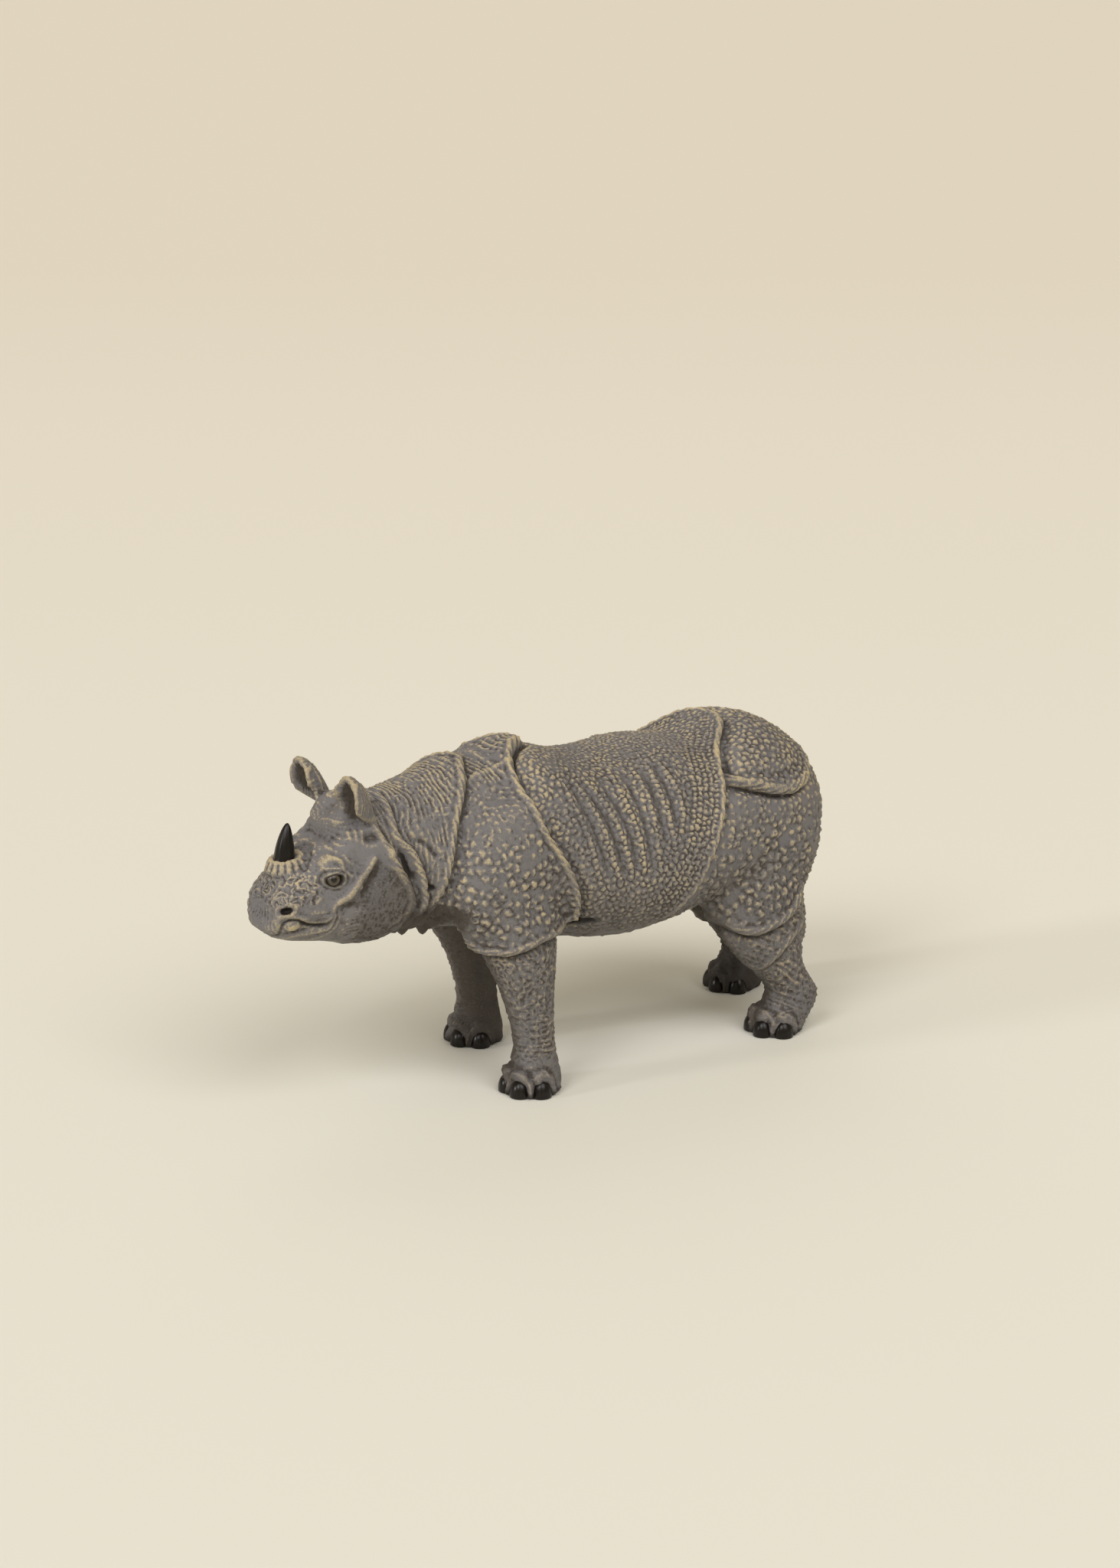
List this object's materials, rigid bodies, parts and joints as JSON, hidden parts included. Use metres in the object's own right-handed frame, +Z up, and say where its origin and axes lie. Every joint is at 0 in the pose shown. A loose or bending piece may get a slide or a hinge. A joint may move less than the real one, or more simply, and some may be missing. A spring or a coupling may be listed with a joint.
{
  "type": "rhinoceros figurine",
  "caption": "Moulded toy figure of a walking Indian rhinoceros with plated, folded hide, a short black nose horn and upright ears, standing on its flat soles.",
  "frame": {"origin": "on the ground, under the middle of the figure's bounding box", "axes": "+X towards the nose, +Y towards the animal's left, +Z up"},
  "size_m": [0.1486, 0.0504, 0.0771],
  "materials": {
    "painted_pvc": "matte, painted grey with tan highlights"
  },
  "bodies": {
    "root": {"rhinoceros": "painted_pvc"}
  },
  "joints": []
}
